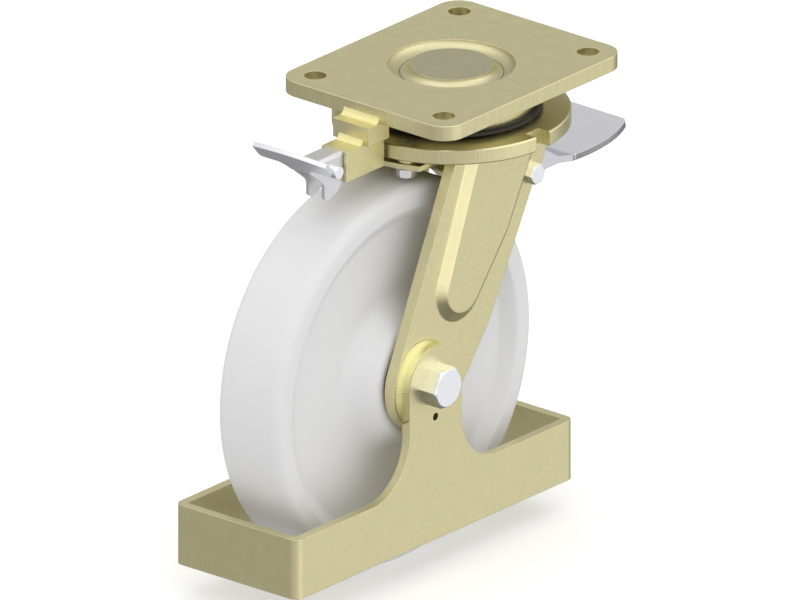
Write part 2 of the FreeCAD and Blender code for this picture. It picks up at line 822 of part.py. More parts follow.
# Hollow weld beads between the guard's risers and the legs: they taper in at the front, run over
# the axle and down the riser's rear edge, where the leg's round end cuts them off.
def make_guard_welds():
    body = new_body("guard_weld_right")
    inner = "(riser_round + run_fit)"
    over = new_sketch(body, "XZ")
    outline(over, [
        (inner, leg_outer),
        (f"{inner} + weld_wide", leg_outer, "weld_wide", -1),
        (inner, f"{leg_outer} + weld_high"),
    ])
    revolve(body, over, 180)
    down = new_sketch(body, "XZ")
    outline(down, [
        (f"-{inner}", leg_outer),
        (f"-{inner} - weld_wide", leg_outer, "weld_wide", 1),
        (f"-{inner}", f"{leg_outer} + weld_high"),
    ])
    pad(body, down, f"sqrt(leg_round ^ 2 - {inner} ^ 2) - free_gap")
    ends = new_sketch(body, "XY", leg_outer)
    far = f"({inner} + 2 * weld_wide)"
    outline(ends, [
        (f"{inner} * cos(weld_start)", f"{inner} * sin(weld_start)"),
        (f"{inner} / 2", "-overcut"),
        (far, "-overcut"),
        (far, far),
        (f"{far} * cos(weld_start + weld_taper)", far),
        (f"{far} * cos(weld_start + weld_taper)", f"{far} * sin(weld_start + weld_taper)"),
    ])
    outline(ends, [
        ("-leg_round", "0", "leg_round", 1),
        ("0", "-leg_round"),
        ("-2 * leg_round", "-leg_round"),
        ("-2 * leg_round", "0"),
    ])
    pocket(body, ends, "4 * weld_wide")
    on_axle(body)
    mirrored(body, "guard_weld_left")


# Axle: bolt from the right through guard, legs and sleeve, with its nut on the left.
def make_axle():
    length = "2 * guard_half + axle_nut + axle_tail"
    bolt = hex_bolt("axle_bolt", "axle_across", "axle_head", "axle_radius", length)
    turn_down(bolt, "axle_radius", length, "axle_tail", "axle_pitch")
    place(bolt, "-axle_back", "-guard_half", "-axle_level", turns["near"])
    nut = hex_nut("axle_nut", "axle_across", "axle_nut", "axle_radius + still_fit")
    place(nut, "-axle_back", "guard_half", "-axle_level", turns["far"])
    sleeve = turned("axle_sleeve", box_corners("axle_radius + still_fit", "sleeve_radius",
                                               "-leg_inner", "leg_inner"))
    on_axle(sleeve)


# Cast wheel: flat tread with round shoulders, recessed webs and a raised hub with bearing seats.
def make_wheel():
    body = new_body("wheel")
    sketch = new_sketch(body, "XZ")
    seat = "bearing_radius + still_fit"
    outline(sketch, [
        ("bore_radius", "0"),
        ("bore_radius", "hub_half - bearing_width - bearing_sink"),
        (seat, "hub_half - bearing_width - bearing_sink"),
        (seat, "hub_half"),
        ("hub_end", "hub_half"),
        ("hub_foot", "hub_foot_half", "web_inner - hub_foot", 1),
        ("web_inner", "web_half"),
        ("web_outer", "web_half"),
        ("rim_inner", "wheel_half"),
        ("wheel_radius - wheel_shoulder", "wheel_half", "wheel_shoulder", -1),
        ("wheel_radius", "wheel_half - wheel_shoulder"),
        ("wheel_radius", "0"),
    ])
    mirror_feature(body, revolve(body, sketch), "XY_Plane")
    dress(body, "Fillet", "wheel_shoulder", at_web_foot)
    on_axle(body)


def at_web_foot(edge):
    box = edge.BoundBox
    level = abs(abs(box.ZMax) - value("web_half")) < near_enough
    return level and abs(box.XMax - value("web_outer")) < near_enough


# Two sealed ball bearings in the hub, each under a rubber seal disc.
def make_wheel_bearings():
    bearing = turned("wheel_bearing_right", box_corners(
        "sleeve_radius + run_fit", "bearing_radius",
        "hub_half - bearing_width - bearing_sink", "hub_half - bearing_sink"))
    on_axle(bearing)
    mirrored(bearing, "wheel_bearing_left")
    seal = turned("hub_seal_right", [
        ("sleeve_radius + free_gap", "hub_half"),
        ("hub_seal_radius", "hub_half"),
        ("hub_seal_radius", "hub_half + hub_seal_thick / 2"),
        ("hub_seal_radius - hub_seal_thick / 2", "hub_half + hub_seal_thick"),
        ("sleeve_radius + free_gap", "hub_half + hub_seal_thick"),
    ])
    on_axle(seal)
    mirrored(seal, "hub_seal_left")


# Brake pedal: a folded channel with side cheeks on a cross tube, a cam under the tube and a
# wide tread plate at the toe.
def make_brake_pedal():
    body = new_body("brake_pedal")
    fold, toe = ("fold_front", "-fold_level"), ("toe_front", "-toe_level")
    upper_side = [("tread_front", "-tread_level"), toe, fold, ("pivot_front", "-pivot_level + pedal_hub")]
    web = new_sketch(body, "XZ")
    outline(web, upper_side + [
        ("pivot_front", "-pivot_level + pedal_hub - pedal_wall"),
        ("fold_front - pedal_wall / 3", "-fold_level - pedal_wall"),
        ("toe_front - pedal_wall / 3", "-toe_level - pedal_wall"),
        ("tread_front", "-tread_level - tread_thick"),
    ])
    pad(body, web, "2 * neck_half", "both")
    for lift in ("neck_half - pedal_wall", "-neck_half"):
        cheek = new_sketch(body, "XZ", lift)
        outline(cheek, upper_side + [
            ("pivot_front", "-pivot_level - pedal_hub"),
            ("fold_front", "-cheek_level"),
            ("toe_front", "-cheek_level"),
            ("tread_front", "-tread_level - tread_thick"),
        ])
        pad(body, cheek, "pedal_wall")
    dress(body, "Fillet", "pedal_bend", across_at(fold, toe))
    tube = new_sketch(body, "XZ")
    circle(tube, *pivot, "pedal_hub")
    pad(body, tube, "2 * (leg_inner - free_gap)", "both")
    cam = new_sketch(body, "XZ")
    tip = (f"({pivot[0]} + cam_reach * cos(cam_angle))", f"({pivot[1]} + cam_reach * sin(cam_angle))")
    lean = "acos((pedal_hub - cam_round) / cam_reach)"
    sides = [f"(cam_angle * 1 deg - {lean})", f"(cam_angle * 1 deg + {lean})"]
    outline(cam, [
        (f"{pivot[0]} + pedal_hub * cos{sides[0]}", f"{pivot[1]} + pedal_hub * sin{sides[0]}"),
        (f"{pivot[0]} + pedal_hub * cos{sides[1]}", f"{pivot[1]} + pedal_hub * sin{sides[1]}"),
        (f"{tip[0]} + cam_round * cos{sides[1]}", f"{tip[1]} + cam_round * sin{sides[1]}", "cam_round", 1),
        (f"{tip[0]} + cam_round * cos{sides[0]}", f"{tip[1]} + cam_round * sin{sides[0]}"),
    ])
    pad(body, cam, "2 * cam_half", "both")
    tread = new_sketch(body, "XY", "-tread_level")
    bind(tread, "AttachmentOffset.Base.x", "tread_front")
    tread.AttachmentOffset = Placement(tread.AttachmentOffset.Base, Rotation(Vector(0, 1, 0), -1))
    bind(tread, "AttachmentOffset.Rotation.Angle", "-tread_tilt")
    outline(tread, tread_corners())
    pad(body, tread, "tread_thick", "against")
    bore = new_sketch(body, "XZ")
    circle(bore, *pivot, "pivot_radius + run_fit")
    pocket(body, bore, "3 * leg_inner")


# The tread's outline from above: widest at its shoulder, from which it sweeps in to a small
# corner at the front and runs back to a lip beside the neck.
def tread_corners():
    rear, shoulder = "(-tread_thick / 4)", "(0.55 * tread_length)"
    lip = "(neck_half + tread_lip)"
    flank = tangent_radius(f"{shoulder} - {rear} - tread_curl", f"tread_half - {lip}")
    span = f"(tread_length - tread_corner - {shoulder})"
    drop = f"sqrt((tread_sweep - tread_corner) ^ 2 - {span} ^ 2)"
    ratio = "tread_sweep / (tread_sweep - tread_corner)"
    touch = (f"{shoulder} + {span} * {ratio}", f"(tread_half - tread_sweep + {drop} * {ratio})")
    corner_end = f"(tread_half - tread_sweep + {drop})"
    return [
        (rear, f"-{lip} + tread_curl", "tread_curl", 1),
        (f"{rear} + tread_curl", f"-{lip}", flank, 1),
        (shoulder, "-tread_half", "tread_sweep", 1),
        (touch[0], f"-{touch[1]}", "tread_corner", 1),
        ("tread_length", f"-{corner_end}"),
        ("tread_length", corner_end, "tread_corner", 1),
        (*touch, "tread_sweep", 1),
        (shoulder, "tread_half", flank, 1),
        (f"{rear} + tread_curl", lip, "tread_curl", 1),
        (rear, f"{lip} - tread_curl"),
    ]


# Bolt and nut that the pedal turns on.
def make_pedal_bolt():
    length = f"2 * {leg_outer} + pivot_across / 2 + pivot_tail"
    bolt = hex_bolt("pedal_bolt", "pivot_across", "pivot_head", "pivot_radius", length)
    turn_down(bolt, "pivot_radius", length, "pivot_tail", "pivot_pitch")
    place(bolt, pivot[0], f"-{leg_outer}", pivot[1], turns["near"])
    nut = hex_nut("pedal_nut", "pivot_across", "pivot_across / 2", "pivot_radius + still_fit")
    place(nut, pivot[0], leg_outer, pivot[1], turns["far"])


# Brake leaf: a strip that starts flat under the flange, steps down and follows the wheel's tread.
def make_brake_leaf():
    body = new_body("brake_leaf")
    inner = "(wheel_radius + leaf_gap)"
    outer = f"({inner} + leaf_thick)"

    def on_arc(radius, x):
        return x, f"sqrt({radius} ^ 2 - (axle_back + ({x})) ^ 2) - axle_level"

    def arc_end(radius):
        return f"{radius} * cos(leaf_end_angle) - axle_back", f"{radius} * sin(leaf_end_angle) - axle_level"

    sketch = new_sketch(body, "XZ")
    outline(sketch, [
        ("-leaf_edge - leaf_thick", "-leaf_level"),
        ("-leaf_edge - leaf_thick", "-leaf_level - leaf_thick"),
        ("-leaf_bend_back - leaf_thick / 3", "-leaf_level - leaf_thick"),
        (*on_arc(inner, "-leaf_bend_front - leaf_thick / 3"), inner, -1),
        arc_end(inner),
        (*arc_end(outer), outer, 1),
        on_arc(outer, "-leaf_bend_front"),
        ("-leaf_bend_back", "-leaf_level"),
    ])
    pad(body, sketch, "2 * leaf_half", "both")
    ends = new_sketch(body, "XY", "-leaf_level")
    side = "(leaf_half + overcut)"
    back = "-leaf_edge - 2 * leaf_thick"
    chord = f"-sqrt(leaf_edge ^ 2 - {side} ^ 2)"
    outline(ends, [(back, f"-{side}"), (chord, f"-{side}", "leaf_edge", -1), (chord, side), (back, side)])
    pocket(body, ends, "6 * leaf_thick")
    holes = new_sketch(body, "XY", "-leaf_level")
    for place_y in ("-leaf_bolt_side", "leaf_bolt_side"):
        circle(holes, "-leaf_bolt_back", place_y, "pivot_radius + leaf_play")
    pocket(body, holes, "6 * leaf_thick")


# Two bolts with spacers that carry the leaf below the flange.
def make_leaf_bolts():
    head_level = "(leaf_level + leaf_thick + leaf_play)"
    bolt = hex_bolt("leaf_bolt", "pivot_across", "pivot_head", "pivot_radius",
                    f"{head_level} - flange_level")
    place(bolt, "-leaf_bolt_back", "-leaf_bolt_side", f"-{head_level}", Rotation(Vector(1, 0, 0), 180))
    spacer = turned("leaf_spacer", box_corners("pivot_radius + still_fit", "spacer_radius",
                                               "-leaf_level + leaf_play", f"-{flange_under}"))
    place(spacer, "-leaf_bolt_back", "-leaf_bolt_side", "0")
    for thing in (bolt, spacer):
        subparts.remove(thing)
        other = mirrored(thing, thing.Label + "_left")
        subparts.remove(other)
        grouped(thing.Label + "s", [thing, other])


# Lock blocks under the plate's edge, with the hollow weld beads that join them.
def make_lock_blocks():
    block = new_body("lock_block")
    sketch = new_sketch(block, "XZ")
    outline(sketch, box_corners("-block_out", "-block_in", f"-{block_under}", "-plate_thick"))
    pad(block, sketch, "2 * block_half", "both")
    guide = new_body("lock_guide")
    sketch = new_sketch(guide, "XZ")
    outline(sketch, box_corners("-guide_out", "-guide_in", f"-{block_under} - guide_height",
                                f"-{block_under}"))
    pad(guide, sketch, "2 * guide_half", "both")
    wide = new_sketch(guide, "YZ", "-guide_in")
    circle(wide, "0", f"-{lock_level}", "latch_radius + run_fit")
    depth = "(flange_radius + latch_gap + latch_length + lever_lift - guide_in + overcut)"
    pocket(guide, wide, depth, "against")
    narrow = new_sketch(guide, "YZ", "-guide_out")
    circle(narrow, "0", f"-{lock_level}", "rod_radius + run_fit")
    pocket(guide, narrow, "guide_out - guide_in", "both")
    plate_edge = "-plate_length / 2 - still_fit"
    weld_bar("plate_weld", plate_edge, "-plate_thick", "plate_bead", "block_half")
    weld_bar("guide_weld", "-block_out - still_fit", f"-{block_under}", "block_bead", "guide_half")


def weld_bar(label, x, z, leg, half):
    body = new_body(label)
    sketch = new_sketch(body, "XZ")
    outline(sketch, [(x, z), (x, f"{z} + {leg}", leg, 1), (f"{x} - {leg}", z)])
    pad(body, sketch, f"2 * {half}", "both")


latch_tip = "(-flange_radius - latch_gap)"
dowel_x = f"({latch_tip} - dowel_back)"


# Lock bolt: a round bolt, hollow at the back for the drawbar, which holds it by a dowel in a slot.
def make_lock_bolt():
    body = new_body("lock_bolt")
    sketch = new_sketch(body, "YZ", latch_tip)
    circle(sketch, "0", f"-{lock_level}", "latch_radius")
    pad(body, sketch, "latch_length", "against")
    tip = value(latch_tip) - near_enough
    dress(body, "Chamfer", "latch_radius / 5", lambda edge: edge.BoundBox.XMin > tip)
    hollow = new_sketch(body, "YZ", f"{latch_tip} - latch_length")
    circle(hollow, "0", f"-{lock_level}", "rod_radius + run_fit")
    pocket(body, hollow, "rod_bury + rod_play", "along")
    cross = new_sketch(body, "XZ")
    circle(cross, dowel_x, f"-{lock_level}", "dowel_radius + still_fit")
    pocket(body, cross, "4 * latch_radius")
    dowel = doc.addObject("Part::Cylinder", "lock_dowel")
    bind(dowel, "Radius", "dowel_radius")
    bind(dowel, "Height", "2 * (latch_radius - free_gap)")
    place(dowel, dowel_x, "latch_radius - free_gap", f"-{lock_level}", turns["near"])
    subpart(dowel, "lock_dowel")


# Drawbar: a rod in the guide, slotted for the dowel, with a flat eye for the lever's pin.
def make_drawbar():
    body = new_body("lock_drawbar")
    rod_end = f"({latch_tip} - latch_length + rod_bury)"
    rod = new_sketch(body, "YZ", rod_end)
    circle(rod, "0", f"-{lock_level}", "rod_radius")
    pad(body, rod, f"{rod_end} + guide_out + 2 * free_gap", "against")
    eye = new_sketch(body, "XZ")
    eye_low, eye_high = f"-{lock_level} - eye_round", f"-{lock_level} + eye_round"
    outline(eye, [
        ("-guide_out - free_gap", eye_low),
        ("-guide_out - free_gap", eye_high),
        ("-lever_pin_out", eye_high, "eye_round", 1),
        ("-lever_pin_out - eye_round", f"-{lock_level}", "eye_round", 1),
        ("-lever_pin_out", eye_low),
    ])
    pad(body, eye, "2 * eye_half", "both")
    cuts = new_sketch(body, "XZ")
    circle(cuts, "-lever_pin_out", f"-{lock_level}", "lever_pin_radius + still_fit")
    play = "(dowel_radius + run_fit)"
    low, high = f"-{lock_level} - {play}", f"-{lock_level} + {play}"
    outline(cuts, [
        (dowel_x, low),
        (f"{dowel_x} + latch_stroke", low, play, 1),
        (f"{dowel_x} + latch_stroke + {play}", f"-{lock_level}", play, 1),
        (f"{dowel_x} + latch_stroke", high),
        (dowel_x, high, play, 1),
        (f"{dowel_x} - {play}", f"-{lock_level}", play, 1),
    ])
    pocket(body, cuts, "3 * eye_half")
    pin = turned("lever_pin", [
        ("0", "-lever_pin_end"),
        ("lever_pin_head", "-lever_pin_end"),
        ("lever_pin_head", "-lever_half - run_fit"),
        ("lever_pin_radius", "-lever_half - run_fit"),
        ("lever_pin_radius", "lever_half + run_fit"),
        ("lever_pin_head", "lever_half + run_fit"),
        ("lever_pin_head", "lever_pin_end"),
        ("0", "lever_pin_end"),
    ])
    place(pin, "-lever_pin_out", "0", f"-{lock_level}", turns["near"])


# Lock lever, made round its pin: a channel whose cheeks are cams against the guide, and a
# tilted cross blade for the foot. Turning it down draws the pin out evenly.
def make_lock_lever():
    body = new_body("lock_lever")
    pin_gap = "(guide_out + free_gap)"
    near = f"(lever_pin_out - {pin_gap})"
    pace = "(lever_lift / lever_turn * 180 / pi)"
    face = f"({near} + lever_lift)"
    cam_end = (f"{face} * cos(lever_turn) - {pace} * sin(lever_turn)",
               f"-{face} * sin(lever_turn) - {pace} * cos(lever_turn)")
    blade_foot = ("lever_pin_out - blade_out + blade_web * sin(blade_tilt) + free_gap",
                  f"{lock_level} - blade_level - blade_web * cos(blade_tilt) + free_gap")
    cheek = new_sketch(body, "XZ")
    outline(cheek, [
        (near, "lever_rise"),
        ("lever_pin_out - blade_out + blade_lap", "lever_rise"),
        blade_foot,
        ("-prong_out - sweep_out", "-prong_top + sweep_rise", tangent_radius("sweep_rise", "sweep_out"), -1),
        ("-prong_out", "-prong_top"),
        ("-prong_out", "-prong_drop + prong_corner", "prong_corner", 1),
        ("-prong_out + prong_corner", "-prong_drop"),
        ("-prong_out / 2", "-prong_drop"),
        (*cam_end, "(3 * prong_drop / 4)", 1),
        (near, f"-{pace}"),
    ])
    pad(body, cheek, "2 * lever_half", "both")
    dress(body, "Fillet", "lever_wall", is_web_edge)
    channel = new_sketch(body, "YZ")
    inner = "(lever_half - lever_wall)"
    outline(channel, box_corners(f"-{inner}", inner, "-2 * prong_drop", "lever_rise - lever_wall"))
    pocket(body, channel, "4 * blade_half")
    blade = new_sketch(body, "YZ", "lever_pin_out - blade_out")
    bind(blade, "AttachmentOffset.Base.y", f"{lock_level} - blade_level")
    blade.AttachmentOffset = Placement(blade.AttachmentOffset.Base, Rotation(Vector(1, 0, 0), -1))
    bind(blade, "AttachmentOffset.Rotation.Angle", "-blade_tilt")
    top_radius = "(blade_half ^ 2 / (2 * blade_arch) + blade_arch / 2)"
    left = [
        ("-blade_half", "0"),
        ("-blade_half", "-blade_end + blade_corner", "blade_corner", 1),
        ("-blade_half + blade_corner", "-blade_end"),
        ("-blade_half / 2", "-blade_end", "blade_flare", -1),
        ("-lever_half", "-blade_web"),
    ]
    right = [
        ("lever_half", "-blade_web", "blade_flare", -1),
        ("blade_half / 2", "-blade_end"),
        ("blade_half - blade_corner", "-blade_end", "blade_corner", 1),
        ("blade_half", "-blade_end + blade_corner"),
        ("blade_half", "0", top_radius, 1),
    ]
    outline(blade, left + right)
    pad(body, blade, "blade_thick")
    bore = new_sketch(body, "XZ")
    circle(bore, "0", "0", "lever_pin_radius + run_fit")
    pocket(body, bore, "4 * lever_half")
    place(body, "-lever_pin_out", "0", f"-{lock_level}")


def is_web_edge(edge):
    box = edge.BoundBox
    return box.ZMin > value("lever_rise") - near_enough and box.YLength < near_enough


make_top_plate()
make_kingpin()
make_thrust_bearing()
make_skirt()
make_fork_head()
make_kingpin_bearing()
make_kingpin_nut()
make_legs()
make_foot_guard()
make_guard_welds()
make_axle()
make_wheel()
make_wheel_bearings()
make_brake_pedal()
make_pedal_bolt()
make_brake_leaf()
make_leaf_bolts()
make_lock_blocks()
make_lock_bolt()
make_drawbar()
make_lock_lever()
doc.recompute()

failed = [thing.Label for thing in doc.Objects if {"Invalid", "Error"} & set(thing.State)]
failed += [thing.Label for thing in subparts if thing.Shape.isNull() or not thing.Shape.isValid()]
if failed:
    raise ValueError("these failed: " + ", ".join(failed))
for thing in subparts:
    thing.Shape.exportStep(f"parts/{thing.Label}.step")
    print(thing.Label, len(thing.Shape.Solids), round(thing.Shape.Volume))
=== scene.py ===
import math

import bmesh
import bpy
import numpy as np
from mathutils import Matrix, Vector


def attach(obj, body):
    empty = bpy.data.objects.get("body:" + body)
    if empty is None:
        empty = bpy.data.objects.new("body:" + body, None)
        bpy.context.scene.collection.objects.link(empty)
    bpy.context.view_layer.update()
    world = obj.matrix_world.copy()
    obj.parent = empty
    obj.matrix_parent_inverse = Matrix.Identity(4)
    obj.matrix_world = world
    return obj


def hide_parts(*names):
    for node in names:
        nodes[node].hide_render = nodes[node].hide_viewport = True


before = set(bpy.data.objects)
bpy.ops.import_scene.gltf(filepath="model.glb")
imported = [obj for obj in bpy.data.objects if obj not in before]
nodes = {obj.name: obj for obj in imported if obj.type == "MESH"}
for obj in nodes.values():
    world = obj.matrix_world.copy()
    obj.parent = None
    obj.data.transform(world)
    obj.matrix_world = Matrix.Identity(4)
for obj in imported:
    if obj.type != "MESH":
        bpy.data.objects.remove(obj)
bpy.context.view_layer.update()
mm = 0.001
axle = (-75.0, -180.0)  # the wheel axle's x and z, mm
noiseSpan = (0.3, 0.7)  # where nearly all of a noise texture's values lie


def linearColour(hexText):
    # sRGB hex to linear: c / 12.92 below 0.04045, ((c + 0.055) / 1.055) ^ 2.4 above it
    channels = [int(hexText[i:i + 2], 16) / 255 for i in (1, 3, 5)]
    return [c / 12.92 if c <= 0.04045 else ((c + 0.055) / 1.055) ** 2.4 for c in channels] + [1.0]


def addNode(tree, kind, inputs=None, **settings):
    # one shader node with its settings; an input given as a socket is linked, any other is set
    node = tree.nodes.new(kind)
    for name, setting in settings.items():
        setattr(node, name, setting)
    for key, given in (inputs or {}).items():
        if isinstance(given, bpy.types.NodeSocket):
            tree.links.new(given, node.inputs[key])
        else:
            node.inputs[key].default_value = given
    return node


def calculate(tree, operation, *values):
    return addNode(tree, "ShaderNodeMath", dict(enumerate(values)), operation=operation).outputs[0]


def dotProduct(tree, first, second):
    both = {0: first, 1: second}
    return addNode(tree, "ShaderNodeVectorMath", both, operation="DOT_PRODUCT").outputs["Value"]


def lengthOf(tree, vector):
    return addNode(tree, "ShaderNodeVectorMath", {0: vector}, operation="LENGTH").outputs["Value"]


def noise(tree, spot, sizeMm, detail=2, roughness=0.5):
    # features of this size on Object coordinates, which are in metres
    return addNode(tree, "ShaderNodeTexNoise",
                   {"Vector": spot, "Scale": 1000 / sizeMm, "Detail": detail,
                    "Roughness": roughness}).outputs["Fac"]


def rescale(tree, value, given, wanted=(0.0, 1.0)):
    return addNode(tree, "ShaderNodeMapRange",
                   {"Value": value, "From Min": given[0], "From Max": given[1],
                    "To Min": wanted[0], "To Max": wanted[1]}).outputs["Result"]


def blend(tree, share, first, second, kind="RGBA"):
    return addNode(tree, "ShaderNodeMix", {"Factor": share, "A": first, "B": second},
                   data_type=kind).outputs["Result"]


def shaded(tree, colour, tone):
    return addNode(tree, "ShaderNodeVectorMath", {0: colour, "Scale": tone},
                   operation="SCALE").outputs["Vector"]


def relief(tree, height, look, depthMm, normal=None):
    inputs = {"Strength": look["bump"], "Distance": depthMm * mm, "Height": height}
    if normal is not None:
        inputs["Normal"] = normal
    return addNode(tree, "ShaderNodeBump", inputs).outputs["Normal"]


def roundedEdges(tree, edgeMm):
    return addNode(tree, "ShaderNodeBevel", {"Radius": edgeMm * mm}, samples=4).outputs["Normal"]


def endWithShader(tree, inputs):
    shader = addNode(tree, "ShaderNodeBsdfPrincipled", inputs)
    addNode(tree, "ShaderNodeOutputMaterial", {"Surface": shader.outputs["BSDF"]})


def newMaterial(name):
    made = bpy.data.materials.new(name)
    made.use_nodes = True
    made.node_tree.nodes.clear()
    return made, made.node_tree


def dress(names, finish):
    for name in names:
        target = nodes[name]
        if not target.data.materials:
            target.data.materials.append(None)
        for slot in target.material_slots:
            slot.link = "OBJECT"
            slot.material = finish


uprightBelow = 0.5  # a face is upright while its normal's z stays under this


def uprightShare(tree, place):
    # 1 on upright faces, else 0
    facing = addNode(tree, "ShaderNodeSeparateXYZ", {"Vector": place.outputs["Normal"]})
    level = calculate(tree, "ABSOLUTE", facing.outputs["Z"])
    return calculate(tree, "LESS_THAN", level, uprightBelow)


# edges, where the rounded normal leaves the flat one, are paler: part wear, part painted highlight
rubbedAndHighlit = {"from": 0.98, "to": 0.8}  # cosine between the rounded and the flat normal


def finishMetal(tree, colour, rough, height, depthMm, look):
    # the plating's colour, paler along the edges as wear and as a painted highlight, with fine
    # relief
    rounded = roundedEdges(tree, look["edgeMm"])
    flat = addNode(tree, "ShaderNodeNewGeometry").outputs["Normal"]
    same = dotProduct(tree, rounded, flat)
    wearAndHighlight = rescale(tree, same, (rubbedAndHighlit["from"], rubbedAndHighlit["to"]), (0.0, look["wearAndHighlight"]))
    wornAndHighlit = blend(tree, wearAndHighlight, colour, linearColour(look["wornAndHighlit"]))
    endWithShader(tree, {"Base Color": wornAndHighlit, "Metallic": 1.0, "Roughness": rough,
                         "Normal": relief(tree, height, look, depthMm, rounded)})


# yellow zinc: mild steel, laser cut and pressed, electroplated and yellow passivated; each finish
# has a straw, a green and a rose tone
plating = {
    "sheet": ("#E2D9AA", "#DDD9AC", "#E4D7AA"), "forged": ("#C4C09D", "#C0BE9D", "#C6BE9C"),
    # the seat's tones are darker than the sheet's, as painted shade; the bar bead's are lighter, as
    # a painted highlight
    "seat": ("#CAC49C", "#C7C39D", "#CCC29A"), "barBeadHighlit": ("#EFE4A4", "#EAE4A8", "#F1E2A2"),
    # the guard bead's tones are darker and more saturated, as painted shade
    "guardBead": ("#D3CC8C", "#CFCB8E", "#D5CB8A"), "wornAndHighlit": "#EFE8C6", "wearAndHighlight": 0.3, "edgeMm": 0.45,
    "cloudMm": 9, "driftMm": 5.4, "fleckMm": 1.6, "streakMm": 1.1, "pebbleMm": 0.7,
    "green": (0.4, 0.62), "rose": (0.45, 0.65), "roseMost": 0.7, "fleck": (0.95, 1.04),
    "roughness": (0.31, 0.42), "bump": 0.6, "pebbleDeepMm": 0.012, "lineDeepMm": 0.03,
    "drawnOut": (1, 1, 0.03), "streak": (0.93, 1.05),
    "jointMm": 32.7, "jointHalfMm": (0.15, 0.5), "joint": (0.25, 1.0),
}


def makeYellowZinc(name, tones, sheared=False, rippled=False, jointed=False):
    # cloudy straw colour drifting to green and rose, fine flecks, paler along the edges as wear and
    # as a painted highlight; sheared edges show upright shear lines; jointed has the dark line
    # round the kingpin's seat
    p = plating
    finish, tree = newMaterial(name)
    place = addNode(tree, "ShaderNodeTexCoord")
    spot = place.outputs["Object"]
    cloud = noise(tree, spot, p["cloudMm"], 4, 0.62)
    drift = noise(tree, spot, p["driftMm"], 3)
    fleck = noise(tree, spot, p["fleckMm"])
    height = noise(tree, spot, p["pebbleMm"])
    straw, green, rose = (linearColour(tone) for tone in tones)
    colour = blend(tree, rescale(tree, cloud, p["green"]), straw, green)
    colour = blend(tree, rescale(tree, drift, p["rose"], (0.0, p["roseMost"])), colour, rose)
    tone = rescale(tree, fleck, noiseSpan, p["fleck"])
    rough = rescale(tree, cloud, noiseSpan, p["roughness"])
    if sheared:
        # shear lines: noise drawn out along Z, only where the face stands upright
        stretched = addNode(tree, "ShaderNodeMapping", {"Vector": spot, "Scale": p["drawnOut"]})
        lines = noise(tree, stretched.outputs["Vector"], p["streakMm"], 3, 0.6)
        upright = uprightShare(tree, place)
        streaked = calculate(tree, "MULTIPLY", tone, rescale(tree, lines, noiseSpan, p["streak"]))
        tone = blend(tree, upright, tone, streaked, "FLOAT")
        height = blend(tree, upright, height, lines, "FLOAT")
    if jointed:
        level = addNode(tree, "ShaderNodeVectorMath", {0: spot, 1: (1, 1, 0)}, operation="MULTIPLY")
        reach = lengthOf(tree, level.outputs["Vector"])
        off = calculate(tree, "SUBTRACT", reach, p["jointMm"] * mm)
        away = calculate(tree, "ABSOLUTE", off)
        half = [edge * mm for edge in p["jointHalfMm"]]
        tone = calculate(tree, "MULTIPLY", tone, rescale(tree, away, half, p["joint"]))
    depthMm = p["lineDeepMm"] if sheared or rippled else p["pebbleDeepMm"]
    finishMetal(tree, shaded(tree, colour, tone), rough, height, depthMm, p)
    return finish


# bright zinc: steel, electroplated and clear passivated, faintly blue on the rolled bolts
brightPlating = {
    "sheet": "#E0E0E5", "bolt": "#F8FAFF", "wornAndHighlit": "#F4F4F6", "wearAndHighlight": 0.25, "edgeMm": 0.5,
    "patchMm": 8.8, "pebbleMm": 0.6, "patch": (0.97, 1.02), "rougher": (-0.04, 0.05), "bump": 0.3,
    "deepMm": 0.006, "boltRough": 0.26, "sheetRough": 0.32, "cut": 0.5, "cutFromMm": 84,
}


def makeBrightZinc(name, hexColour, roughness, cutEdge=False):
    # even silver grey with a soft sheen, a little patchy, with rounded edges paler as wear and as a
    # painted highlight; with the cut edge asked for, upright faces ahead of cutFromMm along X are
    # drawn at half tone, painted shade on the tread's cut edges
    p = brightPlating
    finish, tree = newMaterial(name)
    place = addNode(tree, "ShaderNodeTexCoord")
    spot = place.outputs["Object"]
    patch = noise(tree, spot, p["patchMm"], 5, 0.6)
    pebble = noise(tree, spot, p["pebbleMm"])
    tone = rescale(tree, patch, noiseSpan, p["patch"])
    # painted shade: upright faces ahead of cutFromMm along X, the tread's cut edges, drawn at half
    # tone
    if cutEdge:
        along = addNode(tree, "ShaderNodeSeparateXYZ", {"Vector": spot}).outputs["X"]
        ahead = calculate(tree, "GREATER_THAN", along, p["cutFromMm"] * mm)
        cut = calculate(tree, "MULTIPLY", uprightShare(tree, place), ahead)
        tone = blend(tree, cut, tone, calculate(tree, "MULTIPLY", tone, p["cut"]), "FLOAT")
    rough = rescale(tree, patch, noiseSpan, [roughness + more for more in p["rougher"]])
    colour = shaded(tree, linearColour(hexColour)[:3], tone)
    finishMetal(tree, colour, rough, pebble, p["deepMm"], p)
    return finish


# cast nylon: poured blank, turned to size on tread, web and hub
nylon = {"white": "#E9E9EA", "shade": "#E5E5E6", "turnMm": 0.9, "cloudMm": 30, "edgeMm": 0.6,
         "roughness": (0.38, 0.48), "bump": 0.5, "deepMm": 0.012, "ior": 1.53, "waxy": 0.12,
         "bleed": (1.0, 0.9, 0.8), "bleedMm": 2}


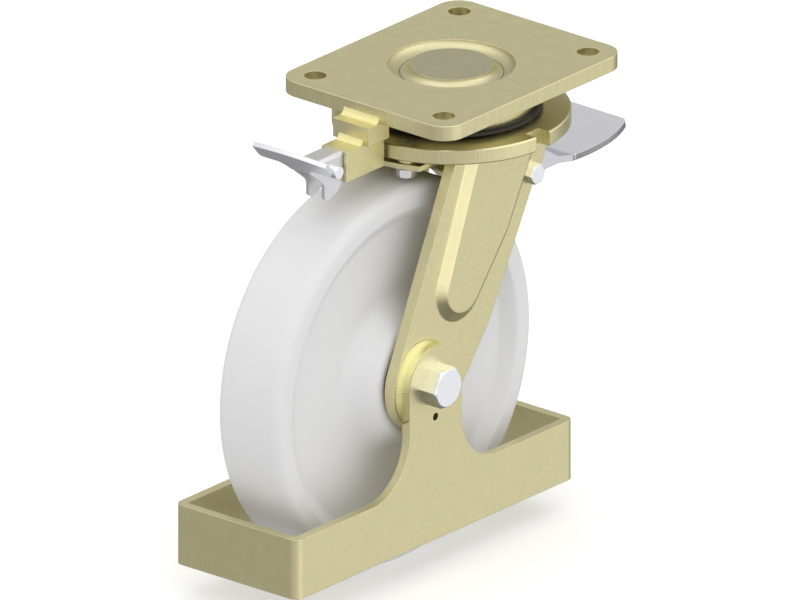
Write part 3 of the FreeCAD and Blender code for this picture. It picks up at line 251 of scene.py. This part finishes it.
def makeCastNylon(name):
    # milky white, slightly waxy, with fine rings left by the turning tool round the axle
    p = nylon
    finish, tree = newMaterial(name)
    spot = addNode(tree, "ShaderNodeTexCoord").outputs["Object"]
    cloud = noise(tree, spot, p["cloudMm"], 3)
    colour = blend(tree, cloud, linearColour(p["white"]), linearColour(p["shade"]))
    centre = (axle[0] * mm, 0.0, axle[1] * mm)
    centred = addNode(tree, "ShaderNodeVectorMath", {0: spot, 1: centre}, operation="SUBTRACT")
    parts = addNode(tree, "ShaderNodeSeparateXYZ", {"Vector": centred.outputs["Vector"]}).outputs
    radial = addNode(tree, "ShaderNodeCombineXYZ", {"X": parts["X"], "Z": parts["Z"]})
    radius = lengthOf(tree, radial.outputs["Vector"])
    rings = addNode(tree, "ShaderNodeCombineXYZ", {"X": radius, "Y": parts["Y"]})
    turned = noise(tree, rings.outputs["Vector"], p["turnMm"])
    rounded = roundedEdges(tree, p["edgeMm"])
    rough = rescale(tree, turned, noiseSpan, p["roughness"])
    endWithShader(tree, {"Base Color": colour, "Roughness": rough,
                         "IOR": p["ior"], "Subsurface Weight": p["waxy"],
                         "Subsurface Radius": p["bleed"], "Subsurface Scale": p["bleedMm"] * mm,
                         "Normal": relief(tree, turned, p, p["deepMm"], rounded)})
    return finish


# nitrile rubber: compression moulded seal
rubber = {"black": "#1B1B1A", "dusty": "#2E2D2A", "grainMm": 0.8, "dustMm": 7, "dust": (0.45, 0.75),
          "roughness": (0.37, 0.57), "bump": 0.4, "deepMm": 0.02, "ior": 1.5}


def makeSealRubber(name):
    # near black with a satin line of light and a breath of dust
    p = rubber
    finish, tree = newMaterial(name)
    spot = addNode(tree, "ShaderNodeTexCoord").outputs["Object"]
    dust = noise(tree, spot, p["dustMm"], 4)
    grain = noise(tree, spot, p["grainMm"])
    colour = blend(tree, rescale(tree, dust, p["dust"]), linearColour(p["black"]),
                   linearColour(p["dusty"]))
    endWithShader(tree, {"Base Color": colour, "IOR": p["ior"],
                         "Roughness": rescale(tree, dust, (0.0, 1.0), p["roughness"]),
                         "Normal": relief(tree, grain, p, p["deepMm"])})
    return finish


# bearing steel: hardened and ground, wet with a film of grease
bearing = {"steel": "#B9BCC0", "film": "#A8A59A", "grindMm": 0.4, "filmMm": 5,
           "filmSpan": (0.35, 0.65), "roughness": (0.2, 0.38), "bump": 0.3, "deepMm": 0.006}


def makeBearingSteel(name):
    # mirror-like grey with a fine ground grain, dulled in patches by grease
    p = bearing
    finish, tree = newMaterial(name)
    spot = addNode(tree, "ShaderNodeTexCoord").outputs["Object"]
    film = noise(tree, spot, p["filmMm"], 3)
    grind = noise(tree, spot, p["grindMm"])
    colour = blend(tree, film, linearColour(p["steel"]), linearColour(p["film"]))
    rough = rescale(tree, film, p["filmSpan"], p["roughness"])
    endWithShader(tree, {"Base Color": colour, "Metallic": 1.0, "Roughness": rough,
                         "Normal": relief(tree, grind, p, p["deepMm"])})
    return finish


yellowZinc = makeYellowZinc("yellowZinc", plating["sheet"])
forgedZinc = makeYellowZinc("yellowZincForged", plating["forged"])
shearedZinc = makeYellowZinc("yellowZincShearedEdge", plating["sheet"], sheared=True)
# the bar beads' finish: the zinc in lighter tones as a painted highlight
barBeadZincHighlit = makeYellowZinc("yellowZincBarBeadHighlit", plating["barBeadHighlit"], rippled=True)
# the guard beads' finish: the zinc in darker tones as painted shade
guardBeadZincShaded = makeYellowZinc("yellowZincGuardBeadShaded", plating["guardBead"], rippled=True)
# the seat's finish: the sheet's zinc in darker tones as painted shade, with the dark line at the
# joint
seatZincShaded = makeYellowZinc("yellowZincSeatShaded", plating["seat"], jointed=True)
bolt, sheet = brightPlating["bolt"], brightPlating["sheet"]
boltZinc = makeBrightZinc("brightZincBolt", bolt, brightPlating["boltRough"])
sheetZinc = makeBrightZinc("brightZincSheet", sheet, brightPlating["sheetRough"])
# the pedal's finish, with painted shade on the tread's upright cut edges
treadZincShadedEdge = makeBrightZinc("brightZincSheetShadedCut", sheet, brightPlating["sheetRough"], cutEdge=True)
castNylon = makeCastNylon("castNylon")
sealRubber = makeSealRubber("sealRubber")
bearingSteel = makeBearingSteel("bearingSteel")

dress(["fork_leg_right", "fork_leg_left", "foot_guard", "brake_leaf", "bearing_skirt",
       "lock_guide", "lock_block", "axle_sleeve", "leaf_spacers"], yellowZinc)
dress(["kingpin"], forgedZinc)
dress(["top_plate", "fork_head"], shearedZinc)
dress(["plate_weld", "guide_weld"], barBeadZincHighlit)
dress(["guard_weld_right", "guard_weld_left"], guardBeadZincShaded)
dress(["axle_bolt", "axle_nut", "pedal_bolt", "pedal_nut", "leaf_bolts", "lever_pin", "kingpin_nut",
       "kingpin_washer", "lock_drawbar", "lock_bolt", "lock_dowel"], boltZinc)
dress(["lock_lever"], sheetZinc)
dress(["brake_pedal"], treadZincShadedEdge)
dress(["wheel"], castNylon)
dress(["bearing_seal", "hub_seal_right", "hub_seal_left"], sealRubber)
dress(["upper_race", "lower_race", "thrust_balls", "bearing_cone", "bearing_cup", "bearing_rollers",
       "wheel_bearing_right", "wheel_bearing_left"], bearingSteel)
print("materials on", len(nodes), "nodes")


def finishMesh(piece, finish, body, replaced, sharpDegrees=32):
    # faces turned outward, smooth up to the given angle, given the finish, then ridden and linked,
    # and the nodes it replaces hidden
    shell = bmesh.new()
    shell.from_mesh(piece.data)
    bmesh.ops.remove_doubles(shell, verts=shell.verts, dist=0.001 * mm)
    bmesh.ops.recalc_face_normals(shell, faces=shell.faces)
    shell.to_mesh(piece.data)
    shell.free()
    piece.data.polygons.foreach_set("use_smooth", np.ones(len(piece.data.polygons), bool))
    piece.data.set_sharp_from_angle(angle=math.radians(sharpDegrees))
    piece.data.materials.clear()
    piece.data.materials.append(finish)
    bpy.context.scene.collection.objects.link(piece)
    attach(piece, body)
    if replaced:
        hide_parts(*replaced)


def quadsBetween(index):
    # every four neighbours of a grid of point numbers
    corners = [index[:-1, :-1], index[:-1, 1:], index[1:, 1:], index[1:, :-1]]
    return np.stack(corners, axis=-1).reshape(-1, 4).tolist()


def gridPiece(name, points, finish, body, replaced=(), closedRows=False, capped=False):
    # points is rows x columns x 3 in mm; every row is a closed loop, rows are joined by quads, and
    # the first and last rows are joined to each other or capped
    rows, columns = points.shape[:2]
    index = np.arange(rows * columns).reshape(rows, columns)
    if closedRows:
        index = np.vstack([index, index[:1]])
    faces = quadsBetween(np.hstack([index, index[:, :1]]))
    if capped:
        faces += [index[0].tolist(), index[-1, ::-1].tolist()]
    mesh = bpy.data.meshes.new(name)
    mesh.from_pydata((points.reshape(-1, 3) * mm).tolist(), [], faces)
    finishMesh(bpy.data.objects.new(name, mesh), finish, body, replaced)


def roundAngles(steps):
    # the angles of a full turn, as a column
    return np.linspace(0, 2 * math.pi, steps, endpoint=False)[:, None]


def roundedOutline(corners, steps):
    # every corner (r, y, radius) of a closed outline becomes an arc that touches both its sides:
    # the arc's points turn evenly from one touching point to the other round a centre on the
    # bisector
    spots = np.array([corner[:2] for corner in corners], float)
    radius = np.array([corner[2] for corner in corners], float)[:, None]
    before, after = np.roll(spots, 1, axis=0) - spots, np.roll(spots, -1, axis=0) - spots
    before /= np.linalg.norm(before, axis=1, keepdims=True)
    after /= np.linalg.norm(after, axis=1, keepdims=True)
    half = np.arccos(np.clip(np.sum(before * after, axis=1, keepdims=True), -1, 1)) / 2
    middle = before + after
    centre = spots + middle / np.linalg.norm(middle, axis=1, keepdims=True) * radius / np.sin(half)
    first = (spots + before * radius / np.tan(half) - centre)[:, None]
    last = (spots + after * radius / np.tan(half) - centre)[:, None]
    share, turn = np.linspace(0, 1, steps)[None, :, None], (math.pi - 2 * half)[:, None]
    arcs = (np.sin((1 - share) * turn) * first + np.sin(share * turn) * last) / np.sin(turn)
    return (centre[:, None] + arcs).reshape(-1, 2)


def turnedPiece(name, outline, steps, finish, body, replaced):
    # the outline's (r, y) carried round the wheel's axle
    angle = roundAngles(steps)
    r, y = outline[:, 0][None], outline[:, 1][None] + 0 * angle
    points = np.stack([axle[0] + r * np.cos(angle), y, axle[1] + r * np.sin(angle)], axis=-1)
    gridPiece(name, points, finish, body, replaced, closedRows=True)


# wheel: cast blank turned to size; the hub flares softly into the web
wheelShape = {"tread": 125, "half": 25, "shoulder": 7, "rim": 109.5, "rimSoft": 4,
              "web": 100, "webHalf": 17.5, "webSoft": 7, "flare": 50, "flareSoft": 18,
              "hub": 37, "hubHalf": 33.5, "hubSoft": 8, "seat": 26, "bore": 21, "edge": 0.3,
              "around": 200, "cornerSteps": 9}


def makeWheel():
    w = wheelShape
    face = [(w["bore"], w["webHalf"], w["edge"]), (w["seat"], w["webHalf"], w["edge"]),
            (w["seat"], w["hubHalf"], w["edge"]), (w["hub"], w["hubHalf"], w["hubSoft"]),
            (w["flare"], w["webHalf"], w["flareSoft"]), (w["web"], w["webHalf"], w["webSoft"]),
            (w["rim"], w["half"], w["rimSoft"]), (w["tread"], w["half"], w["shoulder"])]
    corners = face + [(r, -y, soft) for r, y, soft in reversed(face)]
    turnedPiece("turned_wheel", roundedOutline(corners, w["cornerSteps"]), w["around"], castNylon,
                "wheel", ["wheel"])


# hub seals: a rubber disc on each bearing, with its outer corner cut off
sealShape = {"inner": 12.9, "outer": 31, "from": 33.52, "to": 35.7, "lip": 1.1, "soft": 0.3,
             "around": 120, "cornerSteps": 5}


def makeHubSeals():
    s = sealShape
    for side, name in ((-1, "right"), (1, "left")):
        section = [(s["inner"], s["from"]), (s["outer"], s["from"]),
                   (s["outer"], s["to"] - s["lip"]), (s["outer"] - s["lip"], s["to"]),
                   (s["inner"], s["to"])]
        corners = [(r, side * y, s["soft"]) for r, y in section]
        turnedPiece("hub_seal_disc_" + name, roundedOutline(corners, s["cornerSteps"]), s["around"],
                    sealRubber, "wheel", ["hub_seal_" + name])


# hollow weld beads, with a faint seam along the middle and slight ripples along their length; both
# reach their full depth where the bead's legs are fullFrom mm
beadShape = {"steps": 24, "seam": 0.14, "ripple": 0.05, "rippleMm": 1.7, "fullFrom": 2}


def beadPiece(name, finish, foot, out, rise, wide, high, body, replaced):
    # a quarter ellipse that leaves one wall flat and meets the other flat, closed through the
    # corner between them, carried along the foot line
    b = beadShape
    sweep = np.linspace(0, math.pi / 2, b["steps"] + 1)[None, :, None]
    along = np.concatenate([[0], np.cumsum(np.linalg.norm(np.diff(foot, axis=0), axis=1))])
    ripple = b["ripple"] * np.sin(2 * math.pi * along / b["rippleMm"])
    sink = np.zeros((1, b["steps"] + 1, 1))
    sink[0, b["steps"] // 2] = b["seam"]
    sink = sink - ripple[:, None, None] * np.sin(2 * sweep)
    wide, high = wide[:, None, None], high[:, None, None]
    sink = sink * np.minimum(1, np.minimum(wide, high) / b["fullFrom"])
    hollow = (foot[:, None] + out[:, None] * (wide * (1 - np.sin(sweep)) - sink * np.sin(sweep))
              + rise[:, None] * (high * (1 - np.cos(sweep)) - sink * np.cos(sweep)))
    points = np.concatenate([hollow, foot[:, None]], axis=1)
    gridPiece(name, points, finish, body, replaced, capped=True)


def easeIn(share):
    share = np.clip(share, 0, 1)
    return share * share * (3 - 2 * share)


# guard weld: starts as a point, widens over the axle, turns straight down behind it and runs out
# where the leg's round end cuts it
guardBead = {"inner": 25.35, "leg": 33, "face": 44, "wide": 7.3, "high": 5.7, "least": 0.04,
             "start": 57, "full": 128, "up": 76, "end": 180, "lowFrom": 2.5, "short": 0.1,
             "turnSteps": 150, "downSteps": 40}


def makeGuardBeads():
    g = guardBead
    angle = np.linspace(g["start"], g["end"], g["turnSteps"])
    turned = np.radians(angle)
    drop = math.sqrt(g["leg"] ** 2 - g["inner"] ** 2) - g["short"]
    down = np.linspace(0, drop, g["downSteps"])[1:]
    out = np.concatenate([np.stack([np.cos(turned), 0 * turned, np.sin(turned)], axis=-1),
                          np.tile([-1.0, 0.0, 0.0], (len(down), 1))])
    reach = np.minimum(g["wide"], np.sqrt(g["leg"] ** 2 - down ** 2) - g["inner"])
    widening = g["wide"] * easeIn((angle - g["start"]) / (g["full"] - g["start"]))
    rising = g["high"] * easeIn((angle - g["start"]) / (g["up"] - g["start"]))
    wide = np.maximum(np.concatenate([widening, reach]), g["least"])
    falling = g["high"] * np.minimum(1, reach / g["lowFrom"])
    high = np.maximum(np.concatenate([rising, falling]), g["least"])
    for side, name in ((-1, "right"), (1, "left")):
        foot = g["inner"] * out + [axle[0], side * g["face"], axle[1]]
        foot[len(turned):, 2] -= down
        rise = np.tile([0.0, side, 0.0], (len(out), 1))
        beadPiece("hollow_bead_" + name, guardBeadZincShaded, foot, out, rise, wide, high, "fork",
                  ["guard_weld_" + name])


# straight beads on the lock blocks: node, x and z of the corner, leg and half length
barBeads = [("plate_weld", -87.52, -10.0, 4.5, 14.5), ("guide_weld", -98.02, -22.4, 4.0, 10.0)]
barSteps = 60


def makeBarBeads():
    out, rise = np.tile([-1.0, 0.0, 0.0], (barSteps, 1)), np.tile([0.0, 0.0, 1.0], (barSteps, 1))
    for node, x, z, leg, half in barBeads:
        y = np.linspace(-half, half, barSteps)
        foot = np.stack([np.full_like(y, x), y, np.full_like(y, z)], axis=-1)
        size = np.full_like(y, leg)
        beadPiece(node.replace("weld", "bead"), barBeadZincHighlit, foot, out, rise, size, size, "head",
                  [node])


# rolled threads on the ends of the axle's and the pedal's bolt: x and z of the axis, core and crest
# radius, pitch, and where they start and end along Y
threads = [("axle_thread", axle, 6.78, 7.95, 2.0, 64.1, 67.3),
           ("pedal_thread", (25.5, -69.997), 3.24, 3.97, 1.25, 50.1, 52.0)]
threadShape = {"around": 96, "along": 64, "runOut": 0.3, "blunt": 1.25, "skin": 0.02, "wall": 0.2}


def makeThreads():
    t = threadShape
    angle = roundAngles(t["around"])
    for name, place, core, crest, pitch, low, high in threads:
        # a sleeve whose radius rises and falls once a pitch as a triangle wave that climbs with the
        # angle, cut off at the crest and run out at both ends
        y = np.linspace(low, high, t["along"])[None]
        wave = 1 - np.abs(2 * np.mod(y / pitch - angle / (2 * math.pi), 1) - 1)
        fade = np.clip(np.minimum(y - low, high - y) / (t["runOut"] * pitch), 0, 1)
        outer = core + t["skin"] + (crest - core) * np.clip(t["blunt"] * wave, 0, 1) * fade
        r = np.hstack([outer, np.full_like(outer, core - t["wall"])])
        depth = np.hstack([y, y[:, ::-1]]) + 0 * angle
        points = [place[0] + r * np.cos(angle), depth, place[1] + r * np.sin(angle)]
        gridPiece(name, np.stack(points, axis=-1), boltZinc, "fork", closedRows=True)


# the curves of the plate's seat and the kingpin's shoulder, from (r, z) to (r, z), which are hollow
# on the real pressing
hollows = [("top_plate", (33.2, -5.5), (40.2, 0.0), shearedZinc),
           ("kingpin", (32.2, -5.5), (26.4, -0.5), forgedZinc)]
hollowShape = {"deeper": 1.5, "clear": 0.02, "sharp": 8, "steps": 25, "around": 180, "thick": 0.12}


def makeSunkenCopy(node, low, high, finish):
    # the node's own surface; each curve point between both ends is sunk to the far side of the
    # chord, by its height over the chord times "deeper"
    h = hollowShape
    mesh = nodes[node].data.copy()
    spots = np.empty(len(mesh.vertices) * 3)
    mesh.vertices.foreach_get("co", spots)
    spots = spots.reshape(-1, 3) / mm
    r, z = np.hypot(spots[:, 0], spots[:, 1]), spots[:, 2]
    start, chord = np.array(low), np.array(high) - np.array(low)
    chord /= np.linalg.norm(chord)
    lift = np.stack([r, z], axis=-1) - start
    onChord = (lift @ chord)[:, None] * chord
    sunk = start + onChord - h["deeper"] * (lift - onChord)
    inner, outer = sorted((low[0], high[0]))
    curved = (r > inner + h["clear"]) & (r < outer - h["clear"])
    curved &= (z > low[1] + h["clear"]) & (z < high[1] - h["clear"])
    spots[curved, :2] *= (sunk[curved, 0] / r[curved])[:, None]
    spots[curved, 2] = sunk[curved, 1]
    mesh.vertices.foreach_set("co", (spots * mm).ravel())
    piece = bpy.data.objects.new(node + "_hollowed", mesh)
    finishMesh(piece, finish, "head", [node], h["sharp"])
    even = piece.modifiers.new("flatFacesFirst", "WEIGHTED_NORMAL")
    even.keep_sharp = True


def makeHollowRing(node, low, high):
    # a quarter ellipse that starts level at the joint line and ends upright at the high end, turned
    # round the kingpin's axis, with its back closed just below
    h, joint = hollowShape, plating["jointMm"]
    sweep = np.linspace(0, math.pi / 2, h["steps"])
    r = joint + (high[0] - joint) * np.sin(sweep)
    z = low[1] + (high[1] - low[1]) * (1 - np.cos(sweep))
    back = r + h["thick"] * np.sign(high[0] - joint)
    r, z = np.concatenate([r, back[::-1]]), np.concatenate([z, (z - h["thick"])[::-1]])
    angle = roundAngles(h["around"])
    points = np.stack([r * np.cos(angle), r * np.sin(angle), z + 0 * angle], axis=-1)
    gridPiece(node + "_hollow", points, seatZincShaded, "head", closedRows=True)


makeWheel()
makeHubSeals()
makeGuardBeads()
makeBarBeads()
makeThreads()
for node, low, high, finish in hollows:
    makeSunkenCopy(node, low, high, finish)
    makeHollowRing(node, low, high)
print("wheel, seals, beads, threads and hollows made")


# floor: a lit acrylic table, faintly mottled, under the wheel; camera: a parallel view at the
# photo's angle, 0.5 m wide
studio = {"floorLevel": -0.305, "floorHalf": 8.0, "floor": "#F4F4F3", "glow": 0.2, "mottleMm": 60,
          "roughness": (0.75, 0.85), "middle": (-0.0495, 0.0, -0.1439),
          "back": (-0.7105, -0.5962, 0.3738), "right": (0.6429, -0.7656, 0.0), "distance": 2.0,
          "width": 0.5}


def makeStudioFloor():
    s = studio
    finish, tree = newMaterial("litAcrylicTable")
    spot = addNode(tree, "ShaderNodeTexCoord").outputs["Object"]
    mottle = noise(tree, spot, s["mottleMm"], 3)
    endWithShader(tree, {"Base Color": linearColour(s["floor"]),
                         "Roughness": rescale(tree, mottle, (0.0, 1.0), s["roughness"]),
                         "Emission Color": linearColour("#FFFFFF"), "Emission Strength": s["glow"]})
    side = np.linspace(-s["floorHalf"], s["floorHalf"], 3)
    u, v = np.meshgrid(side, side)
    points = np.stack([u, v, np.full_like(u, s["floorLevel"])], axis=-1)
    mesh = bpy.data.meshes.new("studio_floor")
    mesh.from_pydata(points.reshape(-1, 3).tolist(), [], quadsBetween(np.arange(9).reshape(3, 3)))
    mesh.materials.append(finish)
    floor = bpy.data.objects.new("studio_floor", mesh)
    bpy.context.scene.collection.objects.link(floor)
    floor.visible_glossy = False
    floor.visible_diffuse = False


# soft light from all round. Reflected rays see a sheen, the larger of
# (level + slope . d + power * max(0, d . key) ^ tight + the same for the lamp over it) * ground and
# least + leastSlope . d, where ground rises from 0 to 1 as d's z goes from groundFrom to groundTo.
# All other rays see an even tent, tent + tentSlope . d
dome = {"level": 0.602, "slope": (-0.2, -0.27, 0.6),
        "key": (0.42, -0.9, 0.1), "power": 0.85, "tight": 2.5,
        "over": (-0.45, 0.3, 0.84), "overPower": 0.5, "overTight": 4,
        "groundFrom": -0.56, "groundTo": -0.4, "least": 0.26, "leastSlope": (-0.05, 0.16, 0.0),
        "tent": 0.89, "tentSlope": (0.03, -0.05, 0.3)}


def lampAdded(tree, toward, lit, place, power, tight):
    # lit + power * max(0, direction . place) ^ tight
    facing = calculate(tree, "MAXIMUM", dotProduct(tree, toward, place), 0.0)
    return calculate(tree, "MULTIPLY_ADD", calculate(tree, "POWER", facing, tight), power, lit)


def makeDomeLight():
    d = dome
    world = bpy.data.worlds.new("studioDome")
    bpy.context.scene.world = world
    world.use_nodes = True
    tree = world.node_tree
    tree.nodes.clear()
    toward = addNode(tree, "ShaderNodeTexCoord").outputs["Generated"]
    lit = calculate(tree, "ADD", dotProduct(tree, toward, d["slope"]), d["level"])
    lit = lampAdded(tree, toward, lit, d["key"], d["power"], d["tight"])
    lit = lampAdded(tree, toward, lit, d["over"], d["overPower"], d["overTight"])
    height = addNode(tree, "ShaderNodeSeparateXYZ", {"Vector": toward})
    ground = addNode(tree, "ShaderNodeMapRange",
                     {"Value": height.outputs["Z"], "From Min": d["groundFrom"],
                      "From Max": d["groundTo"]}, interpolation_type="SMOOTHSTEP")
    dimmed = calculate(tree, "MULTIPLY", lit, ground.outputs["Result"])
    least = calculate(tree, "ADD", dotProduct(tree, toward, d["leastSlope"]), d["least"])
    sheen = calculate(tree, "MAXIMUM", dimmed, least)
    tent = calculate(tree, "ADD", dotProduct(tree, toward, d["tentSlope"]), d["tent"])
    ray = addNode(tree, "ShaderNodeLightPath").outputs["Is Glossy Ray"]
    strength = blend(tree, ray, tent, sheen, "FLOAT")
    glow = addNode(tree, "ShaderNodeBackground", {"Color": (1, 1, 1, 1), "Strength": strength})
    addNode(tree, "ShaderNodeOutputWorld", {"Surface": glow.outputs["Background"]})
    world.cycles.sampling_method = "NONE"  # the sheen's light comes along reflected rays only


def makeCamera():
    back = Vector(studio["back"]).normalized()
    right = Vector(studio["right"]).normalized()
    turn = Matrix((right, back.cross(right), back)).transposed().to_4x4()
    lens = bpy.data.cameras.new("photoCamera")
    lens.type = "ORTHO"
    lens.ortho_scale = studio["width"]
    camera = bpy.data.objects.new("photoCamera", lens)
    place = Vector(studio["middle"]) + back * studio["distance"]
    camera.matrix_world = Matrix.Translation(place) @ turn
    bpy.context.scene.collection.objects.link(camera)
    bpy.context.scene.camera = camera
    bpy.context.scene.view_settings.view_transform = "Standard"


makeStudioFloor()
makeDomeLight()
makeCamera()
print("studio set")
